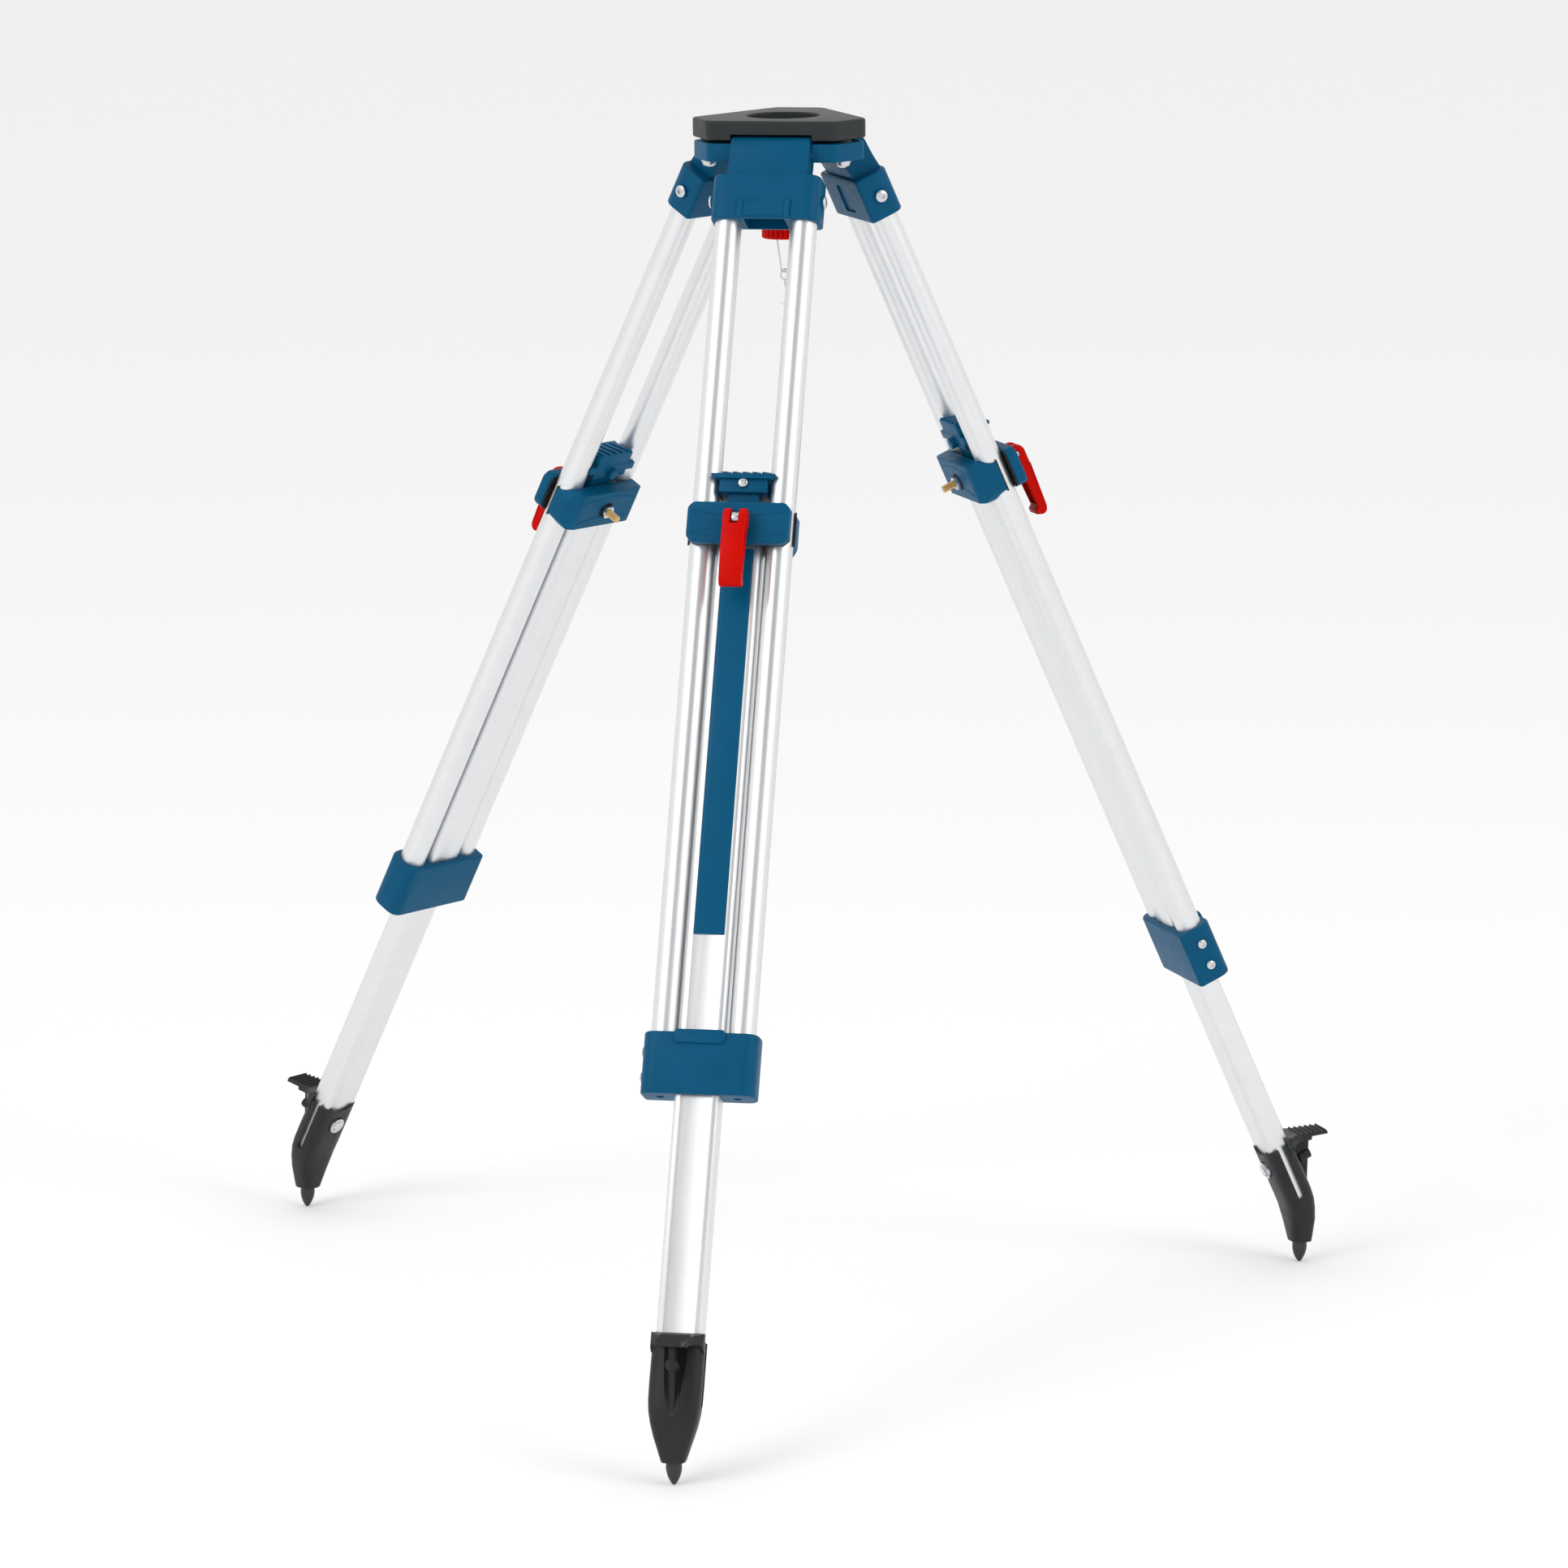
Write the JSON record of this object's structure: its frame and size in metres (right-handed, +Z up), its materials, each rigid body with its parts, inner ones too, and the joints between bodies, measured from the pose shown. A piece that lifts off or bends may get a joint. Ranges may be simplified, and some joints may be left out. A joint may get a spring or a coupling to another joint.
{
  "type": "surveyor tripod",
  "caption": "Flat-head surveying tripod with hinged twin-tube legs, sliding clamped extensions, pedal feet, a captive centre screw and a plumb hook.",
  "frame": {"origin": "centre of the bounding box footprint, on the floor that the foot points rest on", "axes": "+Z up to the instrument, -Y towards the front leg, +X to the right when the front leg faces the viewer"},
  "size_m": [1.1182, 0.9858, 1.2],
  "materials": {
    "head_plate_grey": "matte, fine moulded grain",
    "blue_casting": "semi-gloss glass-filled plastic",
    "steel": "bright zinc plate",
    "red_plastic": "semi-gloss",
    "anodised_aluminium": "satin anodised",
    "brass": "yellow zinc plate",
    "blue_strip": "satin printed plastic strip, no print",
    "black_casting": "satin painted casting",
    "dark_steel": "satin"
  },
  "bodies": {
    "head": {"head_plate": "head_plate_grey", "head_base": "blue_casting", "arm_pivot_bolt": "steel", "hinge_pin_front": "steel", "hinge_pin_left": "steel", "hinge_pin_right": "steel"},
    "arm": {"centre_arm": "steel"},
    "carriage": {"screw_carriage": "steel"},
    "screw": {"centre_screw": "steel"},
    "knob": {"knob": "red_plastic"},
    "plumb_bail": {"plumb_bail": "steel"},
    "plumb_hook": {"plumb_hook": "steel"},
    "leg_front": {"bracket_front": "blue_casting", "tube_a_front": "anodised_aluminium", "tube_b_front": "anodised_aluminium", "collar_front": "blue_casting"},
    "extension_front": {"extension_front": "anodised_aluminium", "cap_front": "blue_casting", "clamp_front_front": "blue_casting", "clamp_back_front": "blue_casting", "clamp_bolt_front": "brass", "clamp_nut_front": "steel", "strip_front": "blue_strip", "boot_front": "black_casting", "foot_tip_front": "dark_steel", "foot_screw_front": "steel"},
    "lever_front": {"lever_front": "red_plastic", "lever_pin_front": "steel"},
    "leg_left": {"bracket_left": "blue_casting", "tube_a_left": "anodised_aluminium", "tube_b_left": "anodised_aluminium", "collar_left": "blue_casting"},
    "extension_left": {"extension_left": "anodised_aluminium", "cap_left": "blue_casting", "clamp_front_left": "blue_casting", "clamp_back_left": "blue_casting", "clamp_bolt_left": "brass", "clamp_nut_left": "steel", "strip_left": "blue_strip", "boot_left": "black_casting", "foot_tip_left": "dark_steel", "foot_screw_left": "steel"},
    "lever_left": {"lever_left": "red_plastic", "lever_pin_left": "steel"},
    "leg_right": {"bracket_right": "blue_casting", "tube_a_right": "anodised_aluminium", "tube_b_right": "anodised_aluminium", "collar_right": "blue_casting"},
    "extension_right": {"extension_right": "anodised_aluminium", "cap_right": "blue_casting", "clamp_front_right": "blue_casting", "clamp_back_right": "blue_casting", "clamp_bolt_right": "brass", "clamp_nut_right": "steel", "strip_right": "blue_strip", "boot_right": "black_casting", "foot_tip_right": "dark_steel", "foot_screw_right": "steel"},
    "lever_right": {"lever_right": "red_plastic", "lever_pin_right": "steel"}
  },
  "joints": [
    {"name": "arm_swing", "type": "hinge", "parent": "head", "child": "arm", "pos_m": [0.05503, 0.19557, 1.1574], "axis": [0, 0, 1], "range_deg": [-12, 12]},
    {"name": "carriage_slide", "type": "slide", "parent": "arm", "child": "carriage", "axis": [0, 1, 0], "range_m": [-0.0105, 0.0105]},
    {"name": "screw_lift", "type": "slide", "parent": "carriage", "child": "screw", "axis": [0, 0, 1], "range_m": [0, 0.033]},
    {"name": "knob_turn", "type": "hinge", "parent": "screw", "child": "knob", "pos_m": [0.05503, 0.12957, 1.0985], "axis": [0, 0, 1], "continuous": true},
    {"name": "bail_swing", "type": "hinge", "parent": "knob", "child": "plumb_bail", "pos_m": [0.05503, 0.12957, 1.085], "axis": [1, 0, 0], "range_deg": [-55, 55]},
    {"name": "hook_swing", "type": "hinge", "parent": "plumb_bail", "child": "plumb_hook", "pos_m": [0.05503, 0.12957, 1.0476], "axis": [1, 0, 0], "range_deg": [-30, 30]},
    {"name": "splay_front", "type": "hinge", "parent": "head", "child": "leg_front", "pos_m": [0.05503, 0.07437, 1.1664], "axis": [-1, 0, 0], "range_deg": [-25.8, 12.2]},
    {"name": "extend_front", "type": "slide", "parent": "leg_front", "child": "extension_front", "axis": [0, -0.4352, -0.9003], "range_m": [-0.2107, 0.4668]},
    {"name": "clamp_lever_front", "type": "hinge", "parent": "extension_front", "child": "lever_front", "pos_m": [0.05503, -0.12826, 0.84372], "axis": [-1, 0, 0], "range_deg": [0, 110]},
    {"name": "splay_left", "type": "hinge", "parent": "head", "child": "leg_left", "pos_m": [0.00722, 0.15718, 1.1664], "axis": [0.5, 0.866, 0], "range_deg": [-29.2, 8.8]},
    {"name": "extend_left", "type": "slide", "parent": "leg_left", "child": "extension_left", "axis": [-0.4225, 0.2439, -0.8729], "range_m": [-0.2501, 0.4274]},
    {"name": "clamp_lever_left", "type": "hinge", "parent": "extension_left", "child": "lever_left", "pos_m": [-0.2012, 0.27751, 0.82188], "axis": [0.5, 0.866, 0], "range_deg": [0, 110]},
    {"name": "splay_right", "type": "hinge", "parent": "head", "child": "leg_right", "pos_m": [0.10283, 0.15718, 1.1664], "axis": [0.5, -0.866, 0], "range_deg": [-23.65, 14.35]},
    {"name": "extend_right", "type": "slide", "parent": "leg_right", "child": "extension_right", "axis": [0.3474, 0.2006, -0.916], "range_m": [-0.1893, 0.4883]},
    {"name": "clamp_lever_right", "type": "hinge", "parent": "extension_right", "child": "lever_right", "pos_m": [0.26026, 0.24807, 0.856], "axis": [0.5, -0.866, 0], "range_deg": [0, 110]}
  ]
}
